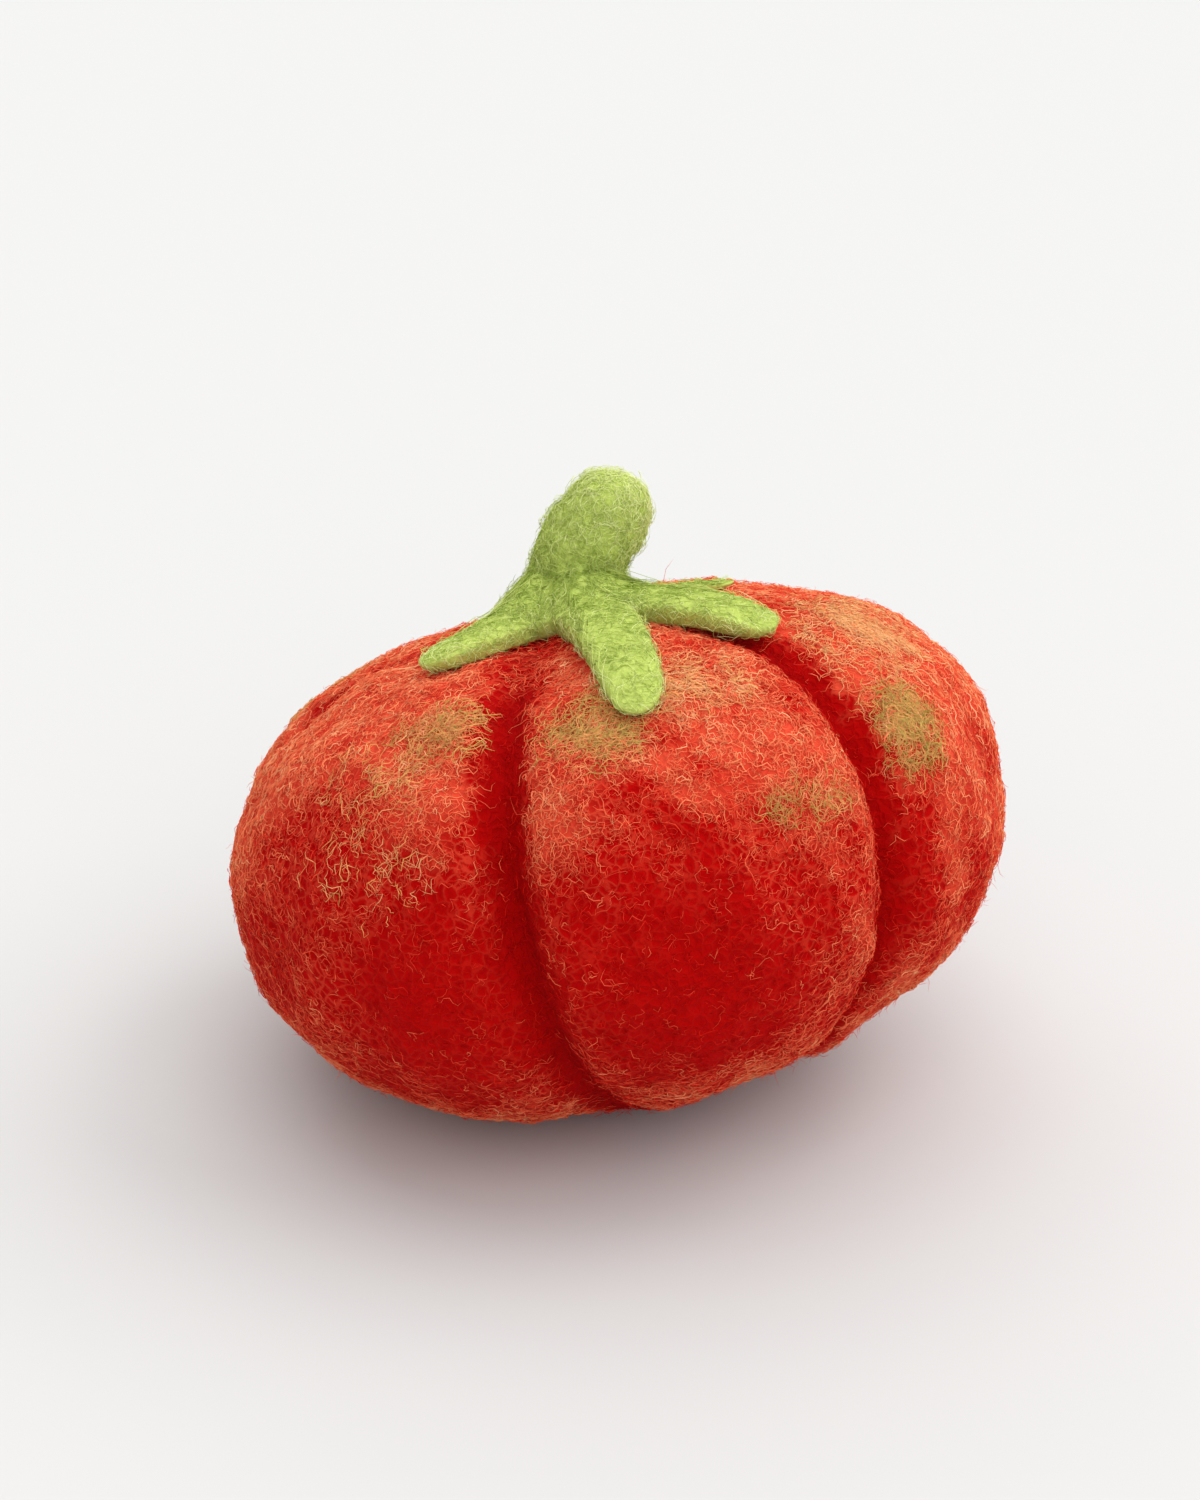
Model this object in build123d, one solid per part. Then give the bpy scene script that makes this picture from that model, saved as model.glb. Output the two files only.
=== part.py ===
from build123d import *
import os
from math import copysign, cos, exp, pi, radians, sin

# A needle-felted tomato pincushion: a ball of core wool wrapped in five red lobes, each with a thin
# coral veil and a few olive tufts, and a green calyx with five sepals round a bent stem.
# It is built upright about its own pole axis, then leaned into the attitude it rests in.
# Millimetres and degrees. theta runs down from the stem, phi runs round the pole axis.

# Body
HALF_LENGTH = 42.6  # half of the long way across
HALF_DEPTH = 39.7  # half of the short way across
HALF_HEIGHT = 27.3  # half of the height along the pole
FULLNESS = 0.89  # under 1 is squarer in profile than an ellipse
SHOULDER = 0.052  # how much wider the body is near the stem, and narrower underneath
MEAN_RADIUS = (HALF_LENGTH + HALF_DEPTH) / 2

# Lobes: each runs from one crease to the next
LOBES = {
    "front": (-115.6, -54.0),
    "right": (-54.0, 14.0),
    "back_right": (14.0, 92.0),
    "back_left": (92.0, 170.0),
    "left": (170.0, 244.4),
}
CREASE_DEPTH = 0.11  # share of the radius lost at the bottom of a crease
CREASE_ROUND = 2.6  # how squarely a lobe turns over into its crease
CREASE_GAP = 0.35  # angle left open between neighbours, half on each side
DIMPLE = 2.0  # how far the crown sinks under the calyx
DIMPLE_SPREAD = 20.0
POLE_ANGLE = 0.3  # the lobes stop just short of the pole axis

# Layers, measured outwards from the red wool
CORE_SHARE = 0.6  # size of the core against the body
CORE_GAP = 0.2
VEIL_GAP = 0.2
VEIL_THICK = 0.35
TUFT_GAP = 0.2
TUFT_THICK = 0.5

# Calyx and stem
HUB_RADIUS = 6.4
HUB_HEIGHT = 3.2
CALYX_GAP = 0.25  # sepals clear the veils by this much
SEPAL_THICK = 3.0

# Resting attitude
LEAN_BACK = -14.6
LEAN_LEFT = -11.55
TURN = 11.7
BASE_TRIM = 2.2  # wool felted flat where the tomato rests

# name: (phi, theta where it ends, half width, sideways bend of the tip in degrees of phi)
SEPALS = {
    "left": (-138.0, 25.5, 3.6, -15.0),
    "front": (-95.0, 48.5, 4.1, 5.0),
    "front_right": (-59.0, 37.5, 3.6, 7.0),
    "back_right": (-12.0, 31.5, 3.5, 4.0),
    "back": (92.0, 27.0, 3.4, -8.0),
}

# name: (theta, phi, half height, half width)
TUFTS = {
    "left_brow": (48.5, -130.0, 9.0, 9.0),
    "left_flank": (65.0, -148.0, 15.0, 7.0),
    "left_low": (80.0, -131.0, 6.0, 6.0),
    "front_collar": (55.0, -98.0, 8.0, 8.0),
    "front_crown": (50.0, -77.0, 7.0, 8.0),
    "front_shoulder": (77.0, -69.0, 5.0, 5.0),
    "right_crown": (40.0, -36.0, 8.0, 10.0),
    "right_flank": (71.0, -40.0, 14.0, 8.0),
    "back_right_crown": (48.0, 40.0, 10.0, 13.0),
    "back_left_crown": (44.0, 136.0, 9.0, 14.0),
    "back_left_flank": (74.0, 122.0, 13.0, 10.0),
}

# Stem: (x, y, z above the crown, lean towards +X, radius along the lean, radius across it)
STEM = (
    (0.4, 0.0, 2.0, 8.0, 6.6, 6.2),
    (1.2, -0.1, 4.2, 12.0, 5.7, 5.5),
    (2.0, -0.2, 6.4, 16.0, 5.3, 5.3),
    (3.2, -0.4, 8.6, 24.0, 5.6, 5.5),
    (4.7, -0.6, 10.5, 34.0, 5.75, 5.6),
    (6.0, -0.75, 12.2, 42.0, 5.4, 5.3),
    (7.2, -0.85, 13.6, 46.0, 4.4, 4.4),
    (8.0, -0.9, 14.5, 48.0, 2.6, 2.6),
)

PROFILE_ANGLES = (POLE_ANGLE, 5, 12, 22, 35, 50, 66, 82, 98, 114, 130, 145, 158, 168, 175, 180 - POLE_ANGLE)
CORE_ANGLES = (2, 20, 45, 70, 90, 110, 135, 160, 178)
LOBE_SPREAD = (-1, -0.96, -0.86, -0.65, -0.35, 0, 0.35, 0.65, 0.86, 0.96, 1)
VEIL_SPREAD = (-0.86, -0.65, -0.35, 0, 0.35, 0.65, 0.86)


def crease_drop(phi):
    """0 on the crest of a lobe, rising to 1 at the bottom of the crease beside it."""
    for start, end in LOBES.values():
        along = (phi - start) % 360
        if along <= end - start:
            across = min(abs(2 * along / (end - start) - 1), 1)
            return 1 - (1 - across**CREASE_ROUND) ** (1 / CREASE_ROUND)
    raise ValueError(f"no lobe at {phi} degrees")


def skin(theta, phi, out=0.0):
    """Point on the red wool, or a given distance outside it."""
    s = sin(radians(theta))
    k = cos(radians(theta))
    keep = 1 - CREASE_DEPTH * s * crease_drop(phi)
    ring = keep * s**FULLNESS * (1 + SHOULDER * k) * (1 + out / MEAN_RADIUS)
    dip = DIMPLE * exp(-((theta / DIMPLE_SPREAD) ** 2))
    height = (HALF_HEIGHT + out) * keep * copysign(abs(k) ** FULLNESS, k) - dip
    return Vector(HALF_LENGTH * ring * cos(radians(phi)), HALF_DEPTH * ring * sin(radians(phi)), height)


def core_skin(theta, phi):
    """Point on the hollow that the core fills, a little clear of the core."""
    share = CORE_SHARE + CORE_GAP / HALF_HEIGHT
    s = share * sin(radians(theta))
    return Vector(
        HALF_LENGTH * s * cos(radians(phi)),
        HALF_DEPTH * s * sin(radians(phi)),
        HALF_HEIGHT * share * cos(radians(theta)),
    )


def loft_outlines(outlines):
    """Solid through planar outlines, each a list of curves end to end."""
    return loft([Face(Wire(outline)) for outline in outlines])


def lobe_phi(name, spread):
    """Angle round the pole at -1 to 1 across a lobe, short of the crease planes."""
    start, end = LOBES[name]
    half = (end - start - CREASE_GAP) / 2
    return (start + end) / 2 + spread * half


def lobe_outline(phi):
    """Cut through a lobe: the skin, the two short flats at the poles and the core's hollow."""
    outer = [skin(theta, phi) for theta in PROFILE_ANGLES]
    inner = [core_skin(theta, phi) for theta in reversed(CORE_ANGLES)]
    return [
        Spline(*outer),
        Line(outer[-1], inner[0]),
        Spline(*inner),
        Line(inner[-1], outer[0]),
    ]


def lobe(name):
    """One red lobe, a thick wedge from crease to crease."""
    return loft_outlines([lobe_outline(lobe_phi(name, spread)) for spread in LOBE_SPREAD])


def veil_outline(phi, spread):
    """Cut through a veil, which shortens towards the creases."""
    reach = 1 - 0.25 * spread**2
    middle = 74.0
    angles = [middle + reach * offset for offset in (-52, -39, -26, -13, 0, 13, 26, 39, 52)]
    inner = [skin(theta, phi, VEIL_GAP) for theta in angles]
    outer = [skin(theta, phi, VEIL_GAP + VEIL_THICK) for theta in reversed(angles)]
    return [
        Spline(*inner),
        Line(inner[-1], outer[0]),
        Spline(*outer),
        Line(outer[-1], inner[0]),
    ]


def veil(name):
    """The thin coral layer over one lobe."""
    return loft_outlines([veil_outline(lobe_phi(name, spread), spread) for spread in VEIL_SPREAD])


def tuft_outline(theta, phi, half_height):
    """Cut through a tuft: flat underneath, domed on top."""
    base = VEIL_GAP + VEIL_THICK + TUFT_GAP
    edge = 0.12
    steps = (-1, -0.6, 0, 0.6, 1)
    inner = [skin(theta + half_height * step, phi, base) for step in steps]
    outer = [
        skin(theta + half_height * step, phi, base + edge + TUFT_THICK * (1 - step**2))
        for step in reversed(steps)
    ]
    return [
        Spline(*inner),
        Line(inner[-1], outer[0]),
        Spline(*outer),
        Line(outer[-1], inner[0]),
    ]


def tuft(theta, phi, half_height, half_width):
    """A wisp of olive wool lying on a veil, oval in outline."""
    outlines = []
    for step in (-1, -0.8, -0.4, 0, 0.4, 0.8, 1):
        height = half_height * (1 - 0.92 * step**2) ** 0.5
        outlines.append(tuft_outline(theta, phi + half_width * step, height))
    return loft_outlines(outlines)


def crown():
    """Height of the sunken crown on the pole axis."""
    return skin(POLE_ANGLE, 0).Z


def hub():
    """Low green boss that joins the sepals and the stem."""
    floor = CALYX_GAP
    rim = skin(9.0, 0, CALYX_GAP).Z
    profile = [
        Line((0, 0, crown() + floor), (HUB_RADIUS, 0, rim)),
        Line((HUB_RADIUS, 0, rim), (HUB_RADIUS, 0, rim + 1.0)),
        Spline(
            (HUB_RADIUS, 0, rim + 1.0),
            (HUB_RADIUS * 0.75, 0, crown() + HUB_HEIGHT * 0.92),
            (0, 0, crown() + HUB_HEIGHT),
        ),
        Line((0, 0, crown() + HUB_HEIGHT), (0, 0, crown() + floor)),
    ]
    return revolve(Face(Wire(profile)), Axis.Z)


def sepal_centre(phi, bend, theta_end, along):
    """Centre line of a sepal, riding over the veils from the hub to its tip."""
    theta = 7.0 + (theta_end - 7.0) * along
    lift = CALYX_GAP + VEIL_GAP + VEIL_THICK + SEPAL_THICK / 2
    side = phi + bend * along
    crest = skin(theta, side, lift)
    drop = CREASE_DEPTH * sin(radians(theta)) * crease_drop(side)
    return crest * (1 / (1 - drop))


def sepal(phi, theta_end, half_width, bend):
    """A thick, blunt leaf with oval sections, clear of the hollow under it."""
    faces = []
    for along in (0.0, 0.2, 0.4, 0.6, 0.78, 0.9, 0.97, 1.0):
        here = sepal_centre(phi, bend, theta_end, along)
        ahead = sepal_centre(phi, bend, theta_end, along + 0.02)
        path = (ahead - here).normalized()
        out = Vector(here.X / HALF_LENGTH**2, here.Y / HALF_DEPTH**2, here.Z / HALF_HEIGHT**2)
        across = path.cross(out).normalized()
        blunt = (1 - max(along - 0.6, 0) ** 2 / 0.17) ** 0.5
        waist = 0.72 + 0.28 * sin(pi * along)
        plane = Plane(origin=here, x_dir=across, z_dir=path)
        thick = SEPAL_THICK / 2 * (0.35 + 0.65 * blunt)
        faces.append(plane * Ellipse(half_width * waist * blunt, thick).face())
    return loft(faces) - hub()


def stem():
    """Fat stem that leaves the crown upright, bends over and ends in a rounded head."""
    faces = []
    for x, y, z, lean, along, across in STEM:
        tilt = radians(lean)
        plane = Plane(
            origin=(x, y, crown() + z),
            x_dir=(cos(tilt), 0, -sin(tilt)),
            z_dir=(sin(tilt), 0, cos(tilt)),
        )
        faces.append(plane * Ellipse(along, across).face())
    return loft(faces) - hub()


def tomato():
    """Every piece by name, upright about the pole axis."""
    pieces = {"wool_core": scale(Sphere(CORE_SHARE), (HALF_LENGTH, HALF_DEPTH, HALF_HEIGHT))}
    for name in LOBES:
        pieces[f"{name}_lobe"] = lobe(name)
        pieces[f"{name}_coral_veil"] = veil(name)
    for name, size in TUFTS.items():
        pieces[f"{name}_tuft"] = tuft(*size)
    pieces["calyx_hub"] = hub()
    for name, size in SEPALS.items():
        pieces[f"{name}_sepal"] = sepal(*size)
    pieces["stem"] = stem()
    return pieces


def rest(pieces):
    """Lean the tomato into its resting attitude and felt its base flat on the ground plane."""
    pose = Location((0, 0, 0), (LEAN_BACK, LEAN_LEFT, TURN))
    leaned = {name: pose * piece for name, piece in pieces.items()}
    box = Compound(list(leaned.values())).bounding_box()
    lift = Location((-box.center().X, -box.center().Y, -box.min.Z - BASE_TRIM))
    return {name: split(lift * piece, Plane.XY, keep=Keep.TOP) for name, piece in leaned.items()}


os.makedirs("parts", exist_ok=True)
for node, piece in rest(tomato()).items():
    export_step(piece, f"parts/{node}.step")
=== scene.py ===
import math

import bpy
import numpy as np
from bpy.props import FloatProperty, FloatVectorProperty, IntProperty, PointerProperty
from mathutils import Matrix, Vector


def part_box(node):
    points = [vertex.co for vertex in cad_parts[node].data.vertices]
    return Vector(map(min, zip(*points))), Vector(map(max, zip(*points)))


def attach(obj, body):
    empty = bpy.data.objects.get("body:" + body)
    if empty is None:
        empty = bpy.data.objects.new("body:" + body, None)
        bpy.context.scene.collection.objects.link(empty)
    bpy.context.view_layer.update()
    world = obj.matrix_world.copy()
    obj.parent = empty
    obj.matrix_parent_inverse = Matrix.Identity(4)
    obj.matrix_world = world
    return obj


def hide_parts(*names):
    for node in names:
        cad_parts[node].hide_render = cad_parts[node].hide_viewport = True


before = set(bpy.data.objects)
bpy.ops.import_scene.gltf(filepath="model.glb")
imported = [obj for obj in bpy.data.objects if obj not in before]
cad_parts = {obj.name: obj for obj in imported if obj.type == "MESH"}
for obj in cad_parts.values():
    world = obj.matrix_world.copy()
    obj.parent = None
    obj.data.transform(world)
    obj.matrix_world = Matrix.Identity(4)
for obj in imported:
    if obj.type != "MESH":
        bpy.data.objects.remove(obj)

bl_info = {
    "name": "Felted Tomato Pincushion",
    "version": (1, 0, 0),
    "blender": (4, 5, 0),
    "location": "3D View > Sidebar > Felted Tomato",
    "description": "Builds a needle-felted tomato pincushion and its studio round the packed frame",
    "category": "Add Mesh",
}

BODY = "root"
MM = 0.001

FELT_FLOOR_GAP = 0.02 * MM  # felt stops this far above the table
STRAND_FLOOR_GAP = 0.25 * MM  # a strand that comes nearer the table is left out
STRAND_THETAS = (0.05, 3.0)  # strands start between these angles down from the pole
CREASE_SHADE_WIDTH = 2.4 * MM  # painted shade: the red is darkened this near a crease, where the groove lies in shade
CREASE_EDGE = (1.5 * MM, 4.0 * MM)  # coral strands start and are full this far from a crease
BRIDGE_ANGLES = (math.radians(24), math.radians(36))  # strands bridge the creases above the first angle
CALYX_GAP = 0.25 * MM  # the calyx lies this far above the skin
CALYX_CREASE = 0.45  # share of a crease's depth that the calyx sinks into
HUB_RADIUS = 7.4 * MM
ROOT_FILL = 9.5 * MM  # wool fills the corners between sepals out to here
FLARE_HEIGHT = 4.2 * MM  # the calyx rises this much into the stem
FLARE_RADIUS = 6.3 * MM
HEAD_START = 0.70  # share of the stem's length where its head starts to round off
FOOT_END = 0.04  # share of the stem's length over which its foot opens
TABLE_HALF = 8.0

# The core stands at the middle of the body, so its box gives the body's place in the frame.
CORE_LOW, CORE_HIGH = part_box("wool_core")
BODY_CENTRE = (np.array(CORE_LOW) + np.array(CORE_HIGH)) / 2

# Each lobe runs from one crease to the next: angles round the pole, in degrees.
LOBES = {
    "front": (-115.6, -54.0),
    "right": (-54.0, 14.0),
    "back_right": (14.0, 92.0),
    "back_left": (92.0, 170.0),
    "left": (170.0, 244.4),
}

# name: (angle round the pole, angle down from it at the tip, half width in mm, thickness in mm,
# sideways bend)
SEPALS = {
    "left": (-132.0, 25.4, 2.8, 2.7, -14.0),
    "front": (-84.0, 49.5, 3.2, 3.0, -6.0),
    "front_right": (-63.0, 37.5, 2.9, 3.1, 11.0),
    "back_right": (-5.0, 21.5, 2.3, 1.0, 0.0),
    "back": (92.0, 27.0, 3.1, 2.6, -8.0),
}

# Where the veil is worn thin and the red shows: (angle down, angle round, half height, half width,
# share lost)
THIN_PATCHES = (
    (102.0, -132.0, 30.0, 19.0, 0.97),
    (105.0, -92.0, 30.0, 24.0, 0.97),
    (62.0, -116.0, 16.0, 5.0, 0.7),
    (67.0, -147.0, 14.0, 15.0, 0.6),
    (104.0, -51.0, 22.0, 7.0, 0.8),
    (104.0, 50.0, 22.0, 20.0, 0.9),
    (100.0, 128.0, 24.0, 16.0, 0.9),
    (92.0, 200.0, 18.0, 12.0, 0.6),
)

# name: (angle down, angle round, half height, half width, strands, tone from straw at 0 to olive at 1)
TUFTS = {
    "left_brow": (42.0, -128.0, 8.0, 13.0, 330, 0.50),
    "left_flank": (54.0, -138.0, 9.0, 12.0, 130, 0.30),
    "left_low": (74.0, -138.0, 11.0, 12.0, 80, 0.20),
    "front_collar": (49.0, -101.0, 10.0, 11.0, 600, 0.55),
    "front_crown": (42.0, -77.0, 9.0, 14.0, 520, 0.15),
    "front_shoulder": (76.0, -71.0, 4.0, 8.0, 150, 0.50),
    "right_crown": (46.0, -30.0, 15.0, 20.0, 1300, 0.10),
    "right_flank": (68.0, -45.0, 10.0, 6.0, 720, 0.62),
    "back_right_crown": (48.0, 40.0, 12.0, 17.0, 620, 0.30),
    "back_left_crown": (44.0, 136.0, 11.0, 18.0, 620, 0.45),
    "back_left_flank": (74.0, 122.0, 15.0, 12.0, 420, 0.55),
}

# Centre line of the stem: (x, y, height above the crown, radius), in mm, leaning over towards +x.
STEM_STATIONS = (
    (0.4, 0.1, -2.0, 5.8),
    (0.7, 0.05, 0.4, 6.2),
    (1.2, 0.0, 2.4, 5.9),
    (1.8, -0.1, 4.6, 5.3),
    (2.6, -0.2, 6.6, 4.95),
    (4.0, -0.4, 8.5, 4.85),
    (5.7, -0.6, 10.0, 4.75),
    (7.2, -0.75, 11.2, 4.7),
    (8.8, -0.85, 12.4, 4.7),
    (10.2, -0.95, 13.5, 4.6),
)


class BodyShape(bpy.types.PropertyGroup):
    half_length: FloatProperty(
        name="Half length", description="Half of the long way across", default=0.0426, unit="LENGTH"
    )
    half_depth: FloatProperty(
        name="Half depth", description="Half of the short way across", default=0.0397, unit="LENGTH"
    )
    half_height: FloatProperty(
        name="Half height",
        description="Half of the height along the pole",
        default=0.0273,
        unit="LENGTH",
    )
    fullness: FloatProperty(
        name="Fullness", description="Under 1 the profile is squarer than an ellipse", default=0.89
    )
    shoulder: FloatProperty(
        name="Shoulder", description="How much wider the body is near the stem", default=0.052
    )
    crease_depth: FloatProperty(
        name="Crease depth", description="Share of the radius lost in a crease", default=0.112
    )
    crease_soft: FloatProperty(
        name="Crease softness",
        description="Share of half a lobe that rounds the foot of its slope",
        default=0.07,
    )
    valley: FloatProperty(
        name="Valley",
        description="Extra depth of the groove along a crease",
        default=0.0027,
        unit="LENGTH",
    )
    valley_width: FloatProperty(
        name="Valley width",
        description="Half width of the groove along a crease",
        default=0.0028,
        unit="LENGTH",
    )
    crease_round: FloatProperty(
        name="Crease roundness", description="How squarely a lobe turns into its crease", default=2.6
    )
    dimple: FloatProperty(
        name="Dimple",
        description="How far the crown sinks under the calyx",
        default=0.002,
        unit="LENGTH",
    )
    dimple_spread: FloatProperty(
        name="Dimple spread",
        description="Angle the dimple reaches",
        default=math.radians(20),
        unit="ROTATION",
    )
    core_share: FloatProperty(
        name="Core share", description="Size of the core hollow against the body", default=0.608
    )
    lean_back: FloatProperty(
        name="Lean back",
        description="Tilt away from the front",
        default=math.radians(-14.6),
        unit="ROTATION",
    )
    lean_left: FloatProperty(
        name="Lean left",
        description="Tilt of the pole to the left",
        default=math.radians(-11.55),
        unit="ROTATION",
    )
    turn: FloatProperty(
        name="Turn", description="Turn about the pole", default=math.radians(11.7), unit="ROTATION"
    )


class WoolColours(bpy.types.PropertyGroup):
    red: FloatVectorProperty(
        name="Red", description="Packed red wool", default=(0.50, 0.001, 0.001), subtype="COLOR", size=3
    )
    # darker red of dye blotches and flecks, also painted shade in the pits and along the creases
    deep_red_and_shade: FloatVectorProperty(
        name="Deep red",
        description="Red in pits and folds",
        default=(0.30, 0.0, 0.0),
        subtype="COLOR",
        size=3,
    )
    coral: FloatVectorProperty(
        name="Coral",
        description="Main colour of the veil",
        default=(0.90, 0.12, 0.055),
        subtype="COLOR",
        size=3,
    )
    pale_coral: FloatVectorProperty(
        name="Pale coral",
        description="Lightest veil strands",
        default=(1.0, 0.30, 0.13),
        subtype="COLOR",
        size=3,
    )
    straw: FloatVectorProperty(
        name="Straw",
        description="Warm end of the tufts",
        default=(0.90, 0.37, 0.13),
        subtype="COLOR",
        size=3,
    )
    olive: FloatVectorProperty(
        name="Olive",
        description="Green end of the tufts",
        default=(0.60, 0.42, 0.11),
        subtype="COLOR",
        size=3,
    )
    green: FloatVectorProperty(
        name="Green",
        description="Calyx and stem",
        default=(0.475, 0.58, 0.125),
        subtype="COLOR",
        size=3,
    )
    pale_green: FloatVectorProperty(
        name="Pale green",
        description="Loose fibres of the calyx",
        default=(0.71, 0.82, 0.24),
        subtype="COLOR",
        size=3,
    )
    # darker green of dye blotches and darker fibres, also painted shade in the pits and at the hub and the
    # stem's foot
    dark_green_and_shade: FloatVectorProperty(
        name="Dark green",
        description="Pits of the calyx",
        default=(0.28, 0.39, 0.05),
        subtype="COLOR",
        size=3,
    )
    undyed: FloatVectorProperty(
        name="Undyed", description="Core wool", default=(0.74, 0.68, 0.56), subtype="COLOR", size=3
    )


class WoolFibres(bpy.types.PropertyGroup):
    veil_count: IntProperty(name="Veil strands", description="Strands in each lobe's veil", default=5600)
    fuzz_count: IntProperty(name="Fuzz strands", description="Fine strands on each lobe", default=4000)
    calyx_count: IntProperty(name="Calyx strands", description="Strands on the calyx", default=5200)
    stem_count: IntProperty(name="Stem strands", description="Strands on the stem", default=4200)
    veil_radius: FloatProperty(
        name="Veil strand",
        description="Radius of a coral strand",
        default=0.00005,
        unit="LENGTH",
        precision=6,
    )
    fuzz_radius: FloatProperty(
        name="Fuzz strand",
        description="Radius of a fine strand",
        default=0.000026,
        unit="LENGTH",
        precision=6,
    )


class StudioStage(bpy.types.PropertyGroup):
    elevation: FloatProperty(
        name="Elevation",
        description="Camera angle above the table",
        default=math.radians(27.0),
        unit="ROTATION",
    )
    distance: FloatProperty(
        name="Distance", description="Camera to the middle of the body", default=0.465, unit="LENGTH"
    )
    lens: FloatProperty(name="Lens", description="Focal length in millimetres", default=102.0)
    aim_right: FloatProperty(
        name="Aim right",
        description="Camera aims this far right of the body",
        default=-0.0017,
        unit="LENGTH",
    )
    aim_up: FloatProperty(
        name="Aim up", description="Camera aims this far above the body", default=0.0104, unit="LENGTH"
    )
    sky: FloatProperty(name="Sky", description="Strength of the light from all round", default=0.59)
    top: FloatProperty(name="Top", description="Strength of the broad light overhead", default=1.6)
    side: FloatProperty(name="Side", description="Strength of the soft light from the right", default=1.05)
    fill: FloatProperty(name="Fill", description="Strength of the soft light from the front", default=1.18)


# ---------------------------------------------------------------- shapes


def settings(name):
    """One of the property groups of this scene."""
    return getattr(bpy.context.scene, name)


def to_frame(points):
    """Upright tomato coordinates, leaned and moved to where the tomato rests."""
    shape = settings("tomato_body")
    lean = (
        Matrix.Rotation(shape.lean_back, 3, "X")
        @ Matrix.Rotation(shape.lean_left, 3, "Y")
        @ Matrix.Rotation(shape.turn, 3, "Z")
    )
    return points @ np.array(lean).T + BODY_CENTRE


def unit(vectors):
    """Vectors scaled to length one."""
    return vectors / np.maximum(np.linalg.norm(vectors, axis=-1, keepdims=True), 1e-12)


def waves(points, size, seed, count=14):
    """Soft bumps about `size` apart: a sum of sine waves that run in random directions, about one high."""
    rng = np.random.default_rng(seed)
    direction = unit(rng.normal(size=(count, 3)))
    pitch = 2 * math.pi / (size * rng.uniform(0.75, 1.5, (count, 1)))
    phase = rng.uniform(0, 2 * math.pi, count)
    return np.sin(points @ (direction * pitch).T + phase).sum(-1) / math.sqrt(count / 2)


def smoothstep(low, high, value):
    """0 below low, 1 above high and an S between."""
    share = np.clip((value - low) / (high - low), 0, 1)
    return share * share * (3 - 2 * share)


def crease_drop(phi):
    """How far a lobe has fallen from its crest towards 1, and the angle to the nearest crease. The fall
    is a superellipse whose last stretch is rounded by the root of a square plus a square."""
    shape = settings("tomato_body")
    power = shape.crease_round
    drop = np.zeros_like(phi)
    gap = np.zeros_like(phi)
    for start, end in LOBES.values():
        width = math.radians(end - start)
        along = np.mod(phi - math.radians(start), 2 * math.pi)
        away = np.clip(1 - np.abs(2 * along / width - 1), 0, 1)
        across = np.clip(1 - np.sqrt(away**2 + shape.crease_soft**2), 0, 1)
        drop = np.where(along <= width, 1 - (1 - across**power) ** (1 / power), drop)
        gap = np.where(along <= width, away * width / 2, gap)
    return drop, gap


def skin(theta, phi, out=0.0, crease=1.0):
    """A superellipsoid, wider near the stem, dimpled at the crown and pinched in at the creases: a power of
    the sine of theta across the pole and a power of its cosine along it."""
    shape = settings("tomato_body")
    s = np.sin(theta)
    k = np.cos(theta)
    mean = (shape.half_length + shape.half_depth) / 2
    drop, gap = crease_drop(phi)
    groove = shape.valley / mean * np.exp(-((gap * s * mean / shape.valley_width) ** 2))
    keep = 1 - crease * s * (shape.crease_depth * drop + groove)
    ring = keep * np.abs(s) ** shape.fullness * (1 + shape.shoulder * k) * (1 + out / mean)
    dip = shape.dimple * np.exp(-((theta / shape.dimple_spread) ** 2))
    height = (shape.half_height + out) * keep * np.sign(k) * np.abs(k) ** shape.fullness - dip
    long_way = shape.half_length * ring * np.cos(phi)
    short_way = shape.half_depth * ring * np.sin(phi)
    return np.stack([long_way, short_way, height], -1)


def outward(points):
    """Direction out of the plain ellipsoid under these points."""
    shape = settings("tomato_body")
    return unit(points / np.array([shape.half_length, shape.half_depth, shape.half_height]) ** 2)


def felted_skin(theta, phi):
    """The skin with hand-felted unevenness: broad, middling and fine bumps along the outward direction."""
    points = skin(theta, phi)
    relief = 0.22 * MM * waves(points, 11 * MM, 1) + 0.07 * MM * waves(points, 3.6 * MM, 2)
    relief += 0.05 * MM * waves(points, 1.5 * MM, 3)
    return points + outward(points) * relief[..., None]


def crown_height():
    """Height of the crown above the middle of the body."""
    return skin(np.array([0.0]), np.array([0.0]))[0, 2]


def theta_at(radius):
    """Angle down from the pole where the body is this wide."""
    shape = settings("tomato_body")
    theta = np.linspace(0, math.radians(75), 400)
    mean = (shape.half_length + shape.half_depth) / 2
    ring = mean * np.sin(theta) ** shape.fullness * (1 + shape.shoulder * np.cos(theta))
    return np.interp(radius, ring, theta)


def radius_at(theta):
    """How far from the pole axis the body is at this angle down."""
    shape = settings("tomato_body")
    mean = (shape.half_length + shape.half_depth) / 2
    return mean * math.sin(theta) ** shape.fullness * (1 + shape.shoulder * math.cos(theta))


def smooth_through(stations, count):
    """A smooth curve through evenly spaced stations: cubic Hermite spans, with slopes from the stations
    on both sides."""
    stations = np.asarray(stations, float)
    slopes = np.gradient(stations, axis=0)
    place = np.linspace(0, len(stations) - 1, count)
    index = np.minimum(place.astype(int), len(stations) - 2)
    t = (place - index)[:, None]
    start, end = stations[index], stations[index + 1]
    first, last = slopes[index], slopes[index + 1]
    return (
        (2 * t**3 - 3 * t**2 + 1) * start
        + (t**3 - 2 * t**2 + t) * first
        + (3 * t**2 - 2 * t**3) * end
        + (t**3 - t**2) * last
    )


# ---------------------------------------------------------------- meshes


def grid_faces(rows, columns, first=0):
    """Four-sided faces of a grid of vertices numbered row by row, wound down then across."""
    number = first + np.arange(rows * columns).reshape(rows, columns)
    corners = [number[:-1, :-1], number[1:, :-1], number[1:, 1:], number[:-1, 1:]]
    return np.stack(corners, -1).reshape(-1, 4)


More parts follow.
